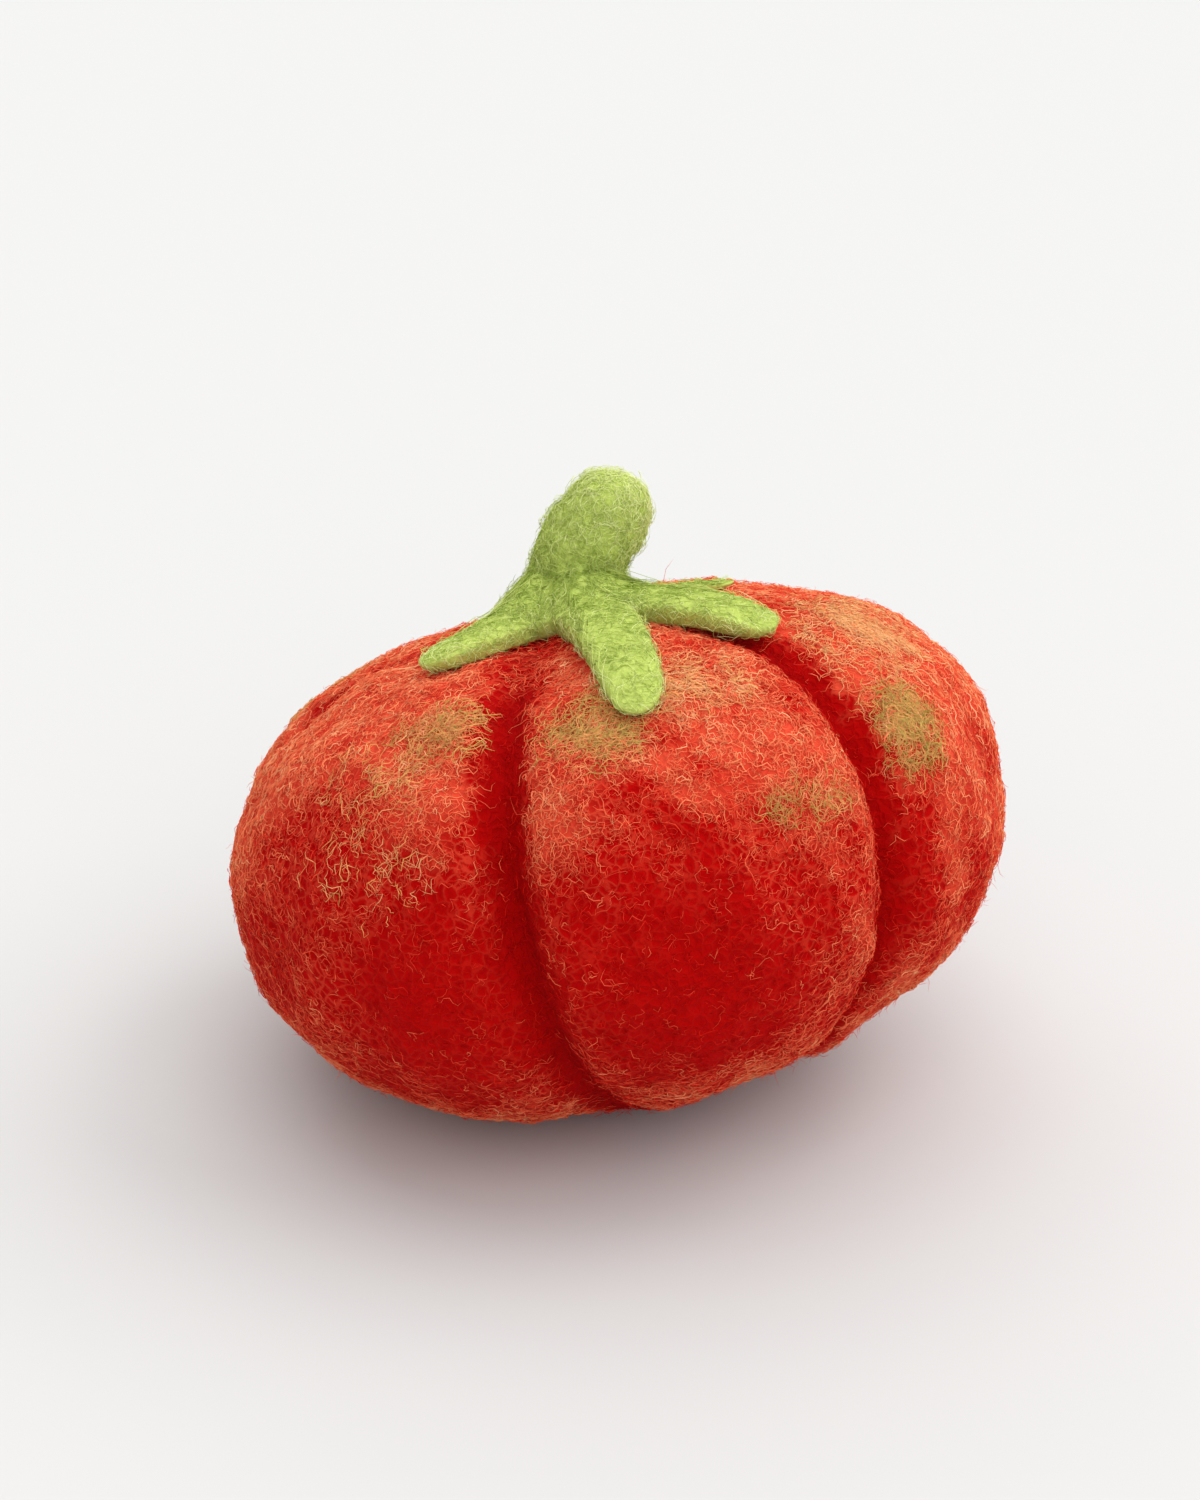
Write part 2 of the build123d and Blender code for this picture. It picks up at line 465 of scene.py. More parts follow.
def ring_faces(rows, columns):
    """Faces of a grid whose columns close into rings, with a pole vertex before and one after."""
    number = 1 + np.arange(rows * columns).reshape(rows, columns)
    beside = np.roll(number, -1, axis=1)
    sides = np.stack([number[:-1], number[1:], beside[1:], beside[:-1]], -1).reshape(-1, 4)
    first = np.zeros(columns, int)
    last = np.full(columns, rows * columns + 1)
    top = np.stack([first, number[0], beside[0]], -1)
    bottom = np.stack([number[-1], last, beside[-1]], -1)
    return sides, top, bottom


def make_piece(name, points, faces, material, uvs=None, **fields):
    """A mesh object from arrays: points, a list of face arrays, a UV for each corner and, as named fields,
    a value for each point."""
    mesh = bpy.data.meshes.new(name)
    corners = np.concatenate([f.reshape(-1) for f in faces]).astype(np.int32)
    sizes = np.concatenate([np.full(len(f), f.shape[1]) for f in faces])
    starts = np.concatenate([[0], np.cumsum(sizes)[:-1]]).astype(np.int32)
    mesh.vertices.add(len(points))
    mesh.vertices.foreach_set("co", np.asarray(points, np.float32).reshape(-1))
    mesh.loops.add(len(corners))
    mesh.loops.foreach_set("vertex_index", corners)
    mesh.polygons.add(len(starts))
    mesh.polygons.foreach_set("loop_start", starts)
    mesh.polygons.foreach_set("use_smooth", np.ones(len(starts), bool))
    mesh.update(calc_edges=True)
    if mesh.validate():
        raise RuntimeError(f"{name} has faces that don't hold together")
    for label, values in fields.items():
        field = mesh.attributes.new(label, "FLOAT", "POINT")
        field.data.foreach_set("value", np.asarray(values, np.float32))
    if uvs is not None:
        layer = mesh.uv_layers.new(name="OFBake")
        layer.data.foreach_set("uv", np.asarray(uvs, np.float32).reshape(-1))
    mesh.materials.append(material)
    piece = bpy.data.objects.new(name, mesh)
    bpy.context.scene.collection.objects.link(piece)
    return piece


def join_frame(piece, nodes):
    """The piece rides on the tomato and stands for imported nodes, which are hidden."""
    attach(piece, BODY)
    for node in nodes:
        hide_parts(node)


def lobe_points(name, rows, columns):
    """Outer and inner grids of a lobe, and their angles. The columns crowd towards the creases, as the
    sine does at its ends."""
    start, end = LOBES[name]
    spread = np.sin(np.linspace(-1, 1, columns) * math.pi / 2)
    phi = math.radians((start + end) / 2) + spread * math.radians(end - start - 0.04) / 2
    theta = np.linspace(math.radians(0.35), math.radians(179.65), rows)
    theta, phi = np.meshgrid(theta, phi, indexing="ij")
    shape = settings("tomato_body")
    axes = np.array([shape.half_length, shape.half_depth, shape.half_height]) * shape.core_share
    round_ball = np.stack([np.sin(theta) * np.cos(phi), np.sin(theta) * np.sin(phi), np.cos(theta)], -1)
    return felted_skin(theta, phi), round_ball * axes, theta, phi


def build_lobe(name, material, rows=140, columns=100):
    """A closed wedge: the felted skin outside, the core's hollow inside and flat walls at the creases."""
    outer, inner, theta, phi = lobe_points(name, rows, columns)
    points = to_frame(np.concatenate([outer.reshape(-1, 3), inner.reshape(-1, 3)]))
    points[:, 2] = np.maximum(points[:, 2], FELT_FLOOR_GAP)
    out = np.arange(rows * columns).reshape(rows, columns)
    into = out + rows * columns
    faces = [
        grid_faces(rows, columns),
        grid_faces(rows, columns, rows * columns)[:, ::-1],
        np.stack([out[:-1, 0], into[:-1, 0], into[1:, 0], out[1:, 0]], -1),
        np.stack([out[1:, -1], into[1:, -1], into[:-1, -1], out[:-1, -1]], -1),
        np.stack([out[0, :-1], out[0, 1:], into[0, 1:], into[0, :-1]], -1),
        np.stack([out[-1, 1:], out[-1, :-1], into[-1, :-1], into[-1, 1:]], -1),
    ]
    tone = veil_density(theta, phi).reshape(-1)
    # painted shade: the red felt is darkened along each crease, where the groove lies in shade
    fold = np.exp(-((from_crease(theta, phi) / CREASE_SHADE_WIDTH) ** 2)).reshape(-1)
    hidden = np.zeros(rows * columns)
    piece = make_piece(
        f"{name}_lobe_felt",
        points,
        faces,
        material,
        tone=np.concatenate([tone, hidden]),
        fold=np.concatenate([fold, hidden]),
    )
    join_frame(piece, [f"{name}_lobe"])


def from_crease(theta, phi):
    """Distance to the nearest crease: the angle to it times how far out from the pole axis the skin is."""
    _, gap = crease_drop(phi)
    return gap * np.sin(theta) * radius_at(math.pi / 2)


def off_crease(theta, phi):
    """0 in a crease and 1 on a lobe, with a frayed edge between. Strands bridge a crease near the
    crown."""
    frayed = from_crease(theta, phi) + 0.5 * MM * waves(skin(theta, phi), 3 * MM, 13)
    bridge = 0.6 * (1 - smoothstep(*BRIDGE_ANGLES, theta))
    return np.maximum(smoothstep(*CREASE_EDGE, frayed), bridge)


def veil_density(theta, phi):
    """How thickly coral strands lie: full on the upper body and at its two ends, thin low down, patchy, and
    none in a crease."""
    points = skin(theta, phi)
    upper = 1 - smoothstep(math.radians(52), math.radians(92), theta)
    rim = 0.3 * smoothstep(math.radians(124), math.radians(138), theta)
    patches = 0.14 * waves(points, 15 * MM, 11) + 0.18 * waves(points, 5 * MM, 12)
    ends = 0.58 * np.abs(np.cos(phi - math.radians(-15))) * np.sin(theta)
    amount = np.clip(0.38 + 0.6 * upper + rim + ends + patches, 0.03, 1.3) * off_crease(theta, phi)
    for down, around, tall, wide, lost in THIN_PATCHES:
        aside = np.mod(phi - math.radians(around) + math.pi, 2 * math.pi) - math.pi
        spot = ((theta - math.radians(down)) / math.radians(tall)) ** 2 + (aside / math.radians(wide)) ** 2
        amount = amount * (1 - lost * np.exp(-(spot**1.5)))
    return amount


def netted_density(theta, phi):
    """The veil's density gathered into a net: strands crowd where a field of small waves crosses zero."""
    points = skin(theta, phi)
    net = np.exp(-((waves(points, 2.1 * MM, 14) / 0.5) ** 2))
    return veil_density(theta, phi) * (0.3 + net)


def steps_of(surface, a, b):
    """Slopes of a surface along its two parameters, by small differences."""
    small = 1e-4
    here = surface(a, b)
    return here, (surface(a + small, b) - here) / small, (surface(a, b + small) - here) / small


def scatter(rng, surface, count, a_range, b_range, density):
    """Places on a surface, picked at random in proportion to area times density."""
    tries = count * 5
    a = rng.uniform(*a_range, tries)
    b = rng.uniform(*b_range, tries)
    _, along, across = steps_of(surface, a, b)
    weight = np.linalg.norm(np.cross(along, across), axis=-1) * density(a, b)
    picked = rng.choice(tries, count, replace=False, p=weight / weight.sum())
    return a[picked], b[picked]


def strand_lines(rng, surface, a, b, length, heading, curl, wiggle, lift, spring, knots=7):
    """Curly lines over a surface, walked step by step. Each sets out along its heading, which turns
    steadily by curl and swings by wiggle. It arches over the surface by lift and rises at its end by
    spring. A step across the surface is shared between its two parameters by the skew of their slopes."""
    count = len(a)
    t = np.linspace(0, 1, knots)
    phase = rng.uniform(0, 2 * math.pi, count)
    turns = rng.uniform(0.8, 2.3, count)
    step = length / (knots - 1)
    lines, normals = [], []
    for share in t:
        here, along, across = steps_of(surface, a, b)
        ahead = unit(along)
        skew = (across * ahead).sum(-1)
        width = np.linalg.norm(across - skew[:, None] * ahead, axis=-1)
        normal = unit(np.cross(along, across))
        rise = lift * (math.sin(math.pi * share) ** 0.7 - 0.12) + spring * share**2.5
        lines.append(here + normal * rise[:, None])
        normals.append(normal)
        angle = heading + curl * (share - 0.5) + wiggle * np.sin(2 * math.pi * turns * share + phase)
        db = step * np.sin(angle) / np.maximum(width, 1e-4)
        a = a + (step * np.cos(angle) - db * skew) / np.linalg.norm(along, axis=-1)
        b = b + db
    return np.stack(lines, 1), np.stack(normals, 1)


def build_strands(name, lines, normal, radius, tone, material):
    """Closed three-sided strands along lines, thickest in the middle and pointed at both ends: a triangle
    round each inner knot of a line, shut by its first and last knots."""
    clear = to_frame(lines)[..., 2].min(axis=1) > STRAND_FLOOR_GAP
    lines, normal, radius, tone = lines[clear], normal[clear], radius[clear], tone[clear]
    count, knots = lines.shape[:2]
    rings = knots - 2
    tangent = unit(np.gradient(lines, axis=1))
    side = unit(np.cross(tangent, normal))
    top = np.cross(side, tangent)
    t = np.linspace(0, 1, knots)[None, 1:-1, None]
    thick = radius[:, None, None] * (1 - 0.55 * np.abs(2 * t - 1) ** 2)
    turn = np.arange(3) * 2 * math.pi / 3
    around = np.cos(turn)[:, None] * side[:, 1:-1, None, :] + np.sin(turn)[:, None] * top[:, 1:-1, None, :]
    tube = lines[:, 1:-1, None, :] + thick[..., None] * around
    points = np.concatenate([lines[:, :1], tube.reshape(count, rings * 3, 3), lines[:, -1:]], axis=1)
    each = rings * 3 + 2
    sides, first, last = ring_faces(rings, 3)
    offset = (np.arange(count) * each)[:, None, None]
    faces = [(part[None] + offset).reshape(-1, part.shape[1]) for part in (sides, first, last)]
    return make_piece(
        name,
        to_frame(points.reshape(-1, 3)),
        faces,
        material,
        uvs=strand_uvs(count, rings),
        tone=np.repeat(tone, each),
    )


def strand_uvs(count, rings):
    """UV corners for strands whose faces come as all sides, then all first tips, then all last tips. Each
    strand has its own small cell of the UV square, its length across the cell and its sides up it."""
    cells = math.ceil(math.sqrt(count))
    cell = np.stack([np.arange(count) % cells, np.arange(count) // cells], -1)[:, None, None, :]
    u = np.arange(rings + 2) / (rings + 1)
    row, side = np.meshgrid(np.arange(rings - 1), np.arange(3), indexing="ij")
    row, side = row.reshape(-1), side.reshape(-1)
    tip = np.arange(3)
    parts = [
        (side, (u[row + 1], u[row + 2], u[row + 2], u[row + 1]), (0, 0, 1, 1)),
        (tip, (u[0], u[1], u[1]), (0, 0, 1)),
        (tip, (u[-2], u[-1], u[-2]), (0, 0, 1)),
    ]
    corners = []
    for number_up, along, up in parts:
        count_up = len(number_up)
        face = [np.stack([np.broadcast_to(a, count_up), (number_up + b) / 3], -1) for a, b in zip(along, up)]
        inside = 0.12 + 0.76 * np.stack(face, 1)[None]
        corners.append(((cell + inside) / cells).reshape(-1, 2))
    return np.concatenate(corners)


def evenly(a, b):
    """The same density everywhere on a surface."""
    return np.ones_like(a)


def build_veil(name, material, seed):
    """Coral strands over one lobe, curled every way and lying on its felt."""
    fibres = settings("tomato_fibres")
    rng = np.random.default_rng(seed)
    start, end = (math.radians(x) for x in LOBES[name])
    count = fibres.veil_count
    theta, phi = scatter(rng, skin, count, STRAND_THETAS, (start, end), netted_density)
    lines, normal = strand_lines(
        rng, felted_skin, theta, phi,
        length=rng.uniform(1.3, 4.2, count) * MM,
        heading=rng.uniform(0, 2 * math.pi, count),
        curl=rng.normal(0, 2.6, count),
        wiggle=1.1,
        lift=rng.uniform(0.05, 0.38, count) * MM,
        spring=rng.uniform(-0.1, 0.15, count) * MM,
    )
    cover = np.clip(veil_density(theta, phi), 0, 1.3)
    radius = fibres.veil_radius * rng.uniform(0.6, 1.35, count) * (0.65 + 0.3 * cover)
    tone = np.clip(0.1 + 0.5 * cover + rng.normal(0, 0.18, count), 0, 1)
    piece = build_strands(f"{name}_coral_strands", lines, normal, radius, tone, material)
    join_frame(piece, [f"{name}_coral_veil"])


def build_tuft(name, material, seed):
    """A wisp of straw or olive strands, combed mostly one way and frayed at its edge."""
    fibres = settings("tomato_fibres")
    theta, phi, tall, wide, count, hue = TUFTS[name]
    rng = np.random.default_rng(seed)
    spot = rng.normal(0, 0.72, (count * 5, 2))
    spot = spot[np.argsort((spot**2).sum(-1))[: count * 3]]
    ragged = waves(spot @ rng.normal(size=(2, 3)), 0.8, seed) + rng.normal(0, 0.9, count * 3)
    theta = np.radians(theta + tall * spot[:, 0])
    phi = np.radians(phi + wide * spot[:, 1])
    kept = np.argsort(ragged + 5 * off_crease(theta, phi))[-count:]
    theta, phi = theta[kept], phi[kept]
    combed = rng.uniform(0, math.pi)
    lines, normal = strand_lines(
        rng, felted_skin, theta, phi,
        length=rng.uniform(1.8, 5.0, count) * MM,
        heading=rng.normal(combed, 0.9, count),
        curl=rng.normal(0, 2.6, count),
        wiggle=1.0,
        lift=rng.uniform(0.1, 0.5, count) * MM,
        spring=rng.uniform(-0.1, 0.2, count) * MM,
    )
    radius = fibres.veil_radius * rng.uniform(0.5, 1.05, count)
    tone = np.clip(rng.normal(hue, 0.2, count), 0, 1)
    piece = build_strands(f"{name}_olive_strands", lines, normal, radius, tone, material)
    join_frame(piece, [f"{name}_tuft"])


def build_fuzz(name, material, seed):
    """Fine loose ends that stand off one lobe and make its soft edge."""
    fibres = settings("tomato_fibres")
    rng = np.random.default_rng(seed)
    start, end = (math.radians(x) for x in LOBES[name])
    count = fibres.fuzz_count
    theta, phi = scatter(rng, skin, count, STRAND_THETAS, (start, end), evenly)
    lines, normal = strand_lines(
        rng, felted_skin, theta, phi,
        length=rng.uniform(1.0, 3.4, count) * MM,
        heading=rng.uniform(0, 2 * math.pi, count),
        curl=rng.normal(0, 3.0, count),
        wiggle=1.2,
        lift=rng.uniform(0.05, 0.5, count) * MM,
        spring=rng.gamma(1.4, 0.2, count) * np.where(rng.random(count) < 0.015, 3.5, 1) * MM,
        knots=5,
    )
    radius = fibres.fuzz_radius * rng.uniform(0.7, 1.4, count)
    tone = np.clip(rng.normal(0.02, 0.22, count) + 0.6 * veil_density(theta, phi), 0, 1)
    piece = build_strands(f"{name}_fuzz", lines, normal, radius, tone, material)
    join_frame(piece, [])


# ---------------------------------------------------------------- calyx and stem


def calyx_outline(angles):
    """How far the calyx reaches at each angle: the farthest point that lies inside a sepal or the hub. A
    sepal is a strip about its own bent centre line with a half-round tip. A wide blur fills in between
    the roots."""
    radius = np.linspace(0, 36 * MM, 1400)[None, :]
    inside = np.repeat(radius < HUB_RADIUS, len(angles), axis=0)
    for phi, theta_end, half_width, _, bend in SEPALS.values():
        reach = radius_at(math.radians(theta_end))
        width = half_width * MM
        centre = math.radians(phi) + math.radians(bend) * radius / reach
        aside = np.abs(np.mod(angles[:, None] - centre + math.pi, 2 * math.pi) - math.pi) * radius
        tip = np.clip((radius - (reach - width)) / width, 0, 1)
        swell = 1.25 - 0.38 * np.clip(radius / reach, 0, 1)
        here = width * swell * np.sqrt(1 - tip**2)
        inside |= (aside < here) & (radius < reach)
    outline = np.where(inside, radius, 0).max(axis=1)
    step = 360 / len(angles)
    edge = blurred(outline, 0.75 / step)
    return np.maximum(edge, np.minimum(blurred(outline, 7.0 / step), ROOT_FILL))


def blurred(values, spread):
    """Values round a full turn, smoothed by a bell curve this many samples wide."""
    reach = math.ceil(4 * spread)
    bell = np.exp(-0.5 * (np.arange(-reach, reach + 1) / spread) ** 2)
    wrapped = np.concatenate([values[-reach:], values, values[:reach]])
    return np.convolve(wrapped, bell / bell.sum(), mode="valid")


def calyx_thickness(angles):
    """Thickness of the calyx at each angle: that of the nearest sepals, blended by a bell curve."""
    total = np.zeros_like(angles)
    weight = np.zeros_like(angles)
    for phi, _, _, thickness, bend in SEPALS.values():
        aside = np.mod(angles - math.radians(phi + bend / 2) + math.pi, 2 * math.pi) - math.pi
        near = np.exp(-((aside / math.radians(18)) ** 2)) + 1e-4
        total += near * thickness * MM
        weight += near
    return total / weight


def calyx_surface(outline_angles, outline, thickness):
    """The calyx as a function of t, from 0 at the top to pi underneath, and the angle round: out along the
    sine of t to the outline, raised over the skin by a rounded thickness plus a flare up to the stem."""

    def surface(t, angle):
        edge = np.interp(angle, outline_angles, outline, period=2 * math.pi)
        radius = np.abs(np.sin(t)) * edge
        theta = theta_at(radius)
        base = skin(theta, angle, CALYX_GAP, crease=CALYX_CREASE)
        thick = np.interp(angle, outline_angles, thickness, period=2 * math.pi)
        over = np.clip(np.cos(t), 0, 1) ** 0.75
        flare = FLARE_HEIGHT * np.exp(-((radius / FLARE_RADIUS) ** 2.2))
        under = thick * 0.5 * np.clip(-np.cos(t) * 3, 0, 1)
        hollow = np.clip(-np.cos(t), 0, 1) ** 0.75 * 0.15 * MM
        height = thick * (0.5 + 0.5 * over) + flare * over - under - hollow
        rough = 0.12 * MM * waves(base, 4.2 * MM, 21) + 0.06 * MM * waves(base, 1.6 * MM, 22)
        return base + outward(base) * (height + rough * over)[..., None]

    return surface


def closed_surface(name, surface, rows, columns, t_range, material):
    """A closed piece from a surface whose second parameter runs right round and whose ends shut at
    poles."""
    t = np.linspace(*t_range, rows + 2)
    angle = np.linspace(0, 2 * math.pi, columns, endpoint=False)
    grid_t, grid_angle = np.meshgrid(t[1:-1], angle, indexing="ij")
    body = surface(grid_t, grid_angle)
    ends = surface(np.array([t[0], t[-1]]), np.zeros(2))
    points = np.concatenate([ends[:1], body.reshape(-1, 3), ends[1:]])
    sides, first, last = ring_faces(rows, columns)
    return make_piece(name, to_frame(points), [sides, first, last], material)


def stem_surface():
    """The stem as a function of t along it and the angle round: circles across a smooth centre line, which
    open at the foot along a quarter circle and shut at the head along a fuller curve."""
    count = 200
    stations = smooth_through(np.array(STEM_STATIONS) * MM, count)
    centre = stations[:, :3] + np.array([0, 0, crown_height()])
    tangent = unit(np.gradient(centre, axis=0))
    across = unit(np.cross(tangent, np.array([0.0, 1.0, 0.0])))
    aside = np.cross(across, tangent)
    length = np.cumsum(np.linalg.norm(np.gradient(centre, axis=0), axis=-1))
    share = length / length[-1]

    def pick(values, t):
        return np.stack([np.interp(t, share, values[:, i]) for i in range(values.shape[1])], -1)

    def surface(t, angle):
        head = np.clip((t - HEAD_START) / (1 - HEAD_START), 0, 1)
        foot = np.clip(t / FOOT_END, 0, 1)
        radius = np.interp(t, share, stations[:, 3]) * np.sqrt(np.clip(1 - head**2.3, 0, 1))
        radius = radius * np.sqrt(np.clip(1 - (1 - foot) ** 2, 0, 1))
        ring = np.cos(angle)[..., None] * pick(across, t) + np.sin(angle)[..., None] * pick(aside, t)
        points = pick(centre, t) + ring * radius[..., None]
        rough = 0.12 * MM * waves(points, 5 * MM, 31) + 0.06 * MM * waves(points, 1.7 * MM, 32)
        return points + unit(ring + 1e-9) * (rough * np.clip(radius / (3 * MM), 0, 1))[..., None]

    return surface


# ---------------------------------------------------------------- shader groups


def add_node(tree, kind, **values):
    """A node with its settings, and its input values by socket name."""
    node = tree.nodes.new(kind)
    for key, value in values.pop("sockets", {}).items():
        node.inputs[key].default_value = value
    for key, value in values.items():
        setattr(node, key, value)
    return node


def new_group(name, inputs, outputs):
    """An empty shader group with named sockets."""
    group = bpy.data.node_groups.new(name, "ShaderNodeTree")
    for label, kind, value in inputs:
        socket = group.interface.new_socket(label, in_out="INPUT", socket_type=kind)
        if value is not None:
            socket.default_value = value
    for label, kind in outputs:
        group.interface.new_socket(label, in_out="OUTPUT", socket_type=kind)
    return group, group.nodes.new("NodeGroupInput"), group.nodes.new("NodeGroupOutput")


def ramp(tree, stops):
    """A colour ramp with (place, value or colour) stops."""
    node = tree.nodes.new("ShaderNodeValToRGB")
    while len(node.color_ramp.elements) < len(stops):
        node.color_ramp.elements.new(0.5)
    for element, (place, colour) in zip(node.color_ramp.elements, stops):
        element.position = place
        element.color = (*colour, 1) if hasattr(colour, "__len__") else (colour, colour, colour, 1)
    return node


def felt_web_group():
    """Felt seen close: a curly web of packed fibres with small needle pits between them. The web is the
    edge of warped cells, the pits are the middles of the same cells."""
    if "Felt web" in bpy.data.node_groups:
        return bpy.data.node_groups["Felt web"]
    group, enter, leave = new_group(
        "Felt web",
        [("Pitch per metre", "NodeSocketFloat", 900.0), ("Warp", "NodeSocketFloat", 0.0009)],
        [("Web", "NodeSocketFloat"), ("Pits", "NodeSocketFloat"), ("Height", "NodeSocketFloat")],
    )
    link = group.links.new
    place = add_node(group, "ShaderNodeTexCoord")
    bend = add_node(group, "ShaderNodeTexNoise", sockets={"Scale": 700.0, "Detail": 3.0})
    link(place.outputs["Object"], bend.inputs["Vector"])
    centred = add_node(group, "ShaderNodeVectorMath", operation="SUBTRACT")
    centred.inputs[1].default_value = (0.5, 0.5, 0.5)
    link(bend.outputs["Color"], centred.inputs[0])
    scaled = add_node(group, "ShaderNodeVectorMath", operation="SCALE")
    link(centred.outputs[0], scaled.inputs[0])
    link(enter.outputs["Warp"], scaled.inputs["Scale"])
    moved = add_node(group, "ShaderNodeVectorMath", operation="ADD")
    link(place.outputs["Object"], moved.inputs[0])
    link(scaled.outputs[0], moved.inputs[1])
    cells = add_node(group, "ShaderNodeTexVoronoi", feature="DISTANCE_TO_EDGE")
    link(moved.outputs[0], cells.inputs["Vector"])
    link(enter.outputs["Pitch per metre"], cells.inputs["Scale"])
    web = add_node(group, "ShaderNodeMapRange", interpolation_type="SMOOTHSTEP")
    web.inputs["From Min"].default_value = 0.16
    web.inputs["From Max"].default_value = 0.02
    link(cells.outputs["Distance"], web.inputs["Value"])
    pits = add_node(group, "ShaderNodeMapRange", interpolation_type="SMOOTHSTEP")
    pits.inputs["From Min"].default_value = 0.16
    pits.inputs["From Max"].default_value = 0.40
    link(cells.outputs["Distance"], pits.inputs["Value"])
    fine = add_node(group, "ShaderNodeTexNoise", sockets={"Scale": 5200.0, "Detail": 4.0})
    fine.inputs["Roughness"].default_value = 0.65
    link(moved.outputs[0], fine.inputs["Vector"])
    height = add_node(group, "ShaderNodeMath", operation="MULTIPLY_ADD")
    height.inputs[1].default_value = 0.5
    link(fine.outputs["Fac"], height.inputs[0])
    less = add_node(group, "ShaderNodeMath", operation="SUBTRACT")
    link(web.outputs[0], less.inputs[0])
    link(pits.outputs[0], less.inputs[1])
    link(less.outputs[0], height.inputs[2])
    link(web.outputs[0], leave.inputs["Web"])
    link(pits.outputs[0], leave.inputs["Pits"])
    link(height.outputs[0], leave.inputs["Height"])
    return group


def wool_tint_group():
    """Uneven dye: slow blotches and fine flecks, each from 0 to 1."""
    if "Wool tint" in bpy.data.node_groups:
        return bpy.data.node_groups["Wool tint"]
    group, enter, leave = new_group(
        "Wool tint",
        [("Blotches per metre", "NodeSocketFloat", 90.0), ("Flecks per metre", "NodeSocketFloat", 2600.0)],
        [("Blotch", "NodeSocketFloat"), ("Fleck", "NodeSocketFloat")],
    )
    place = add_node(group, "ShaderNodeTexCoord")
    for label, source in (("Blotch", "Blotches per metre"), ("Fleck", "Flecks per metre")):
        noise = add_node(group, "ShaderNodeTexNoise", sockets={"Detail": 3.0, "Roughness": 0.55})
        spread = add_node(group, "ShaderNodeMapRange")
        spread.inputs["From Min"].default_value = 0.3
        spread.inputs["From Max"].default_value = 0.7
        group.links.new(place.outputs["Object"], noise.inputs["Vector"])
        group.links.new(enter.outputs[source], noise.inputs["Scale"])
        group.links.new(noise.outputs["Fac"], spread.inputs["Value"])
        group.links.new(spread.outputs[0], leave.inputs[label])
    return group


def place_group(tree, group, **values):
    """A shader group in a material, with its own values."""
    node = tree.nodes.new("ShaderNodeGroup")
    node.node_tree = group
    for key, value in values.items():
        node.inputs[key.replace("_", " ")].default_value = value
    return node


def mix(tree, share, first, second):
    """Mixes two colours, each a socket or a plain colour, by a socket or a number."""
    node = add_node(tree, "ShaderNodeMix", data_type="RGBA")
    for value, socket in ((share, node.inputs[0]), (first, node.inputs[6]), (second, node.inputs[7])):
        if isinstance(value, bpy.types.NodeSocket):
            tree.links.new(value, socket)
        elif hasattr(value, "__len__"):
            socket.default_value = (*value, 1)
        else:
            socket.default_value = value
    return node.outputs[2]


def number(tree, operation, first, second, clamp=False):
    """A Math node on two values, each a socket or a plain number."""
    node = add_node(tree, "ShaderNodeMath", operation=operation, use_clamp=clamp)
    for value, socket in ((first, node.inputs[0]), (second, node.inputs[1])):
        if isinstance(value, bpy.types.NodeSocket):
            tree.links.new(value, socket)
        else:
            socket.default_value = value
    return node.outputs[0]


def wool_material(name):
    """A plain matt wool: the material, its tree, its shader and the tone of each point as a socket."""
    material = bpy.data.materials.new(name)
    material.use_nodes = True
    tree = material.node_tree
    shader = tree.nodes["Principled BSDF"]
    shader.inputs["Roughness"].default_value = 0.9
    shader.inputs["Specular IOR Level"].default_value = 0.05
    tone = add_node(tree, "ShaderNodeAttribute", attribute_name="tone")
    return material, tree, shader, tone.outputs["Fac"]


def bump_from(tree, shader, height, distance, strength):
    """Felt relief on the shader's normal."""
    bump = add_node(tree, "ShaderNodeBump", sockets={"Strength": strength, "Distance": distance})
    tree.links.new(height, bump.inputs["Height"])
    tree.links.new(bump.outputs["Normal"], shader.inputs["Normal"])


def felt_material(name, base, deep_and_shade, pale, web_share):
    """Packed felt: base wool with darker dye blotches and flecks, painted shade in its pits and along its
    creases, and a paler web over it.
    The web's share is a number or, where that is None, the tone of each point."""
    material, tree, shader, tone = wool_material(name)
    web = place_group(tree, felt_web_group(), Pitch_per_metre=820.0, Warp=0.0011)
    tint = place_group(tree, wool_tint_group())
    # painted shade along the creases of the lobes; pieces without this field get none
    fold = add_node(tree, "ShaderNodeAttribute", attribute_name="fold").outputs["Fac"]
    colour = base
    for mask, strength, other in (
        (tint.outputs["Blotch"], 0.35, deep_and_shade),
        (tint.outputs["Fleck"], 0.35, pale if web_share else deep_and_shade),
        # painted shade: the next two darken the pits and the creases towards the darker colour
        (web.outputs["Pits"], 0.3, deep_and_shade),
        (fold, 0.8, deep_and_shade),
    ):
        colour = mix(tree, number(tree, "MULTIPLY", mask, strength), colour, other)
    share = number(tree, "MULTIPLY", web.outputs["Web"], tone if web_share is None else web_share)
    limits = {"From Min": 0.6, "From Max": 1.3, "To Max": 0.6}
    under = add_node(tree, "ShaderNodeMapRange", sockets=limits)
    tree.links.new(tone, under.inputs["Value"])
    share = number(tree, "MULTIPLY", share, 0.5, clamp=True)
    share = number(tree, "MAXIMUM", share, under.outputs[0])
    colour = mix(tree, share, colour, pale)
    tree.links.new(colour, shader.inputs["Base Color"])
    relief = tint.outputs["Fleck"] if web_share else web.outputs["Height"]
    bump_from(tree, shader, relief, distance=0.2 * MM, strength=0.6)
    return material


def strand_material(name, stops):
    """Loose fibres, each one shade by its own tone."""
    material, tree, shader, tone = wool_material(name)
    shade = ramp(tree, stops)
    tree.links.new(tone, shade.inputs["Fac"])
    tree.links.new(shade.outputs["Color"], shader.inputs["Base Color"])
    return material


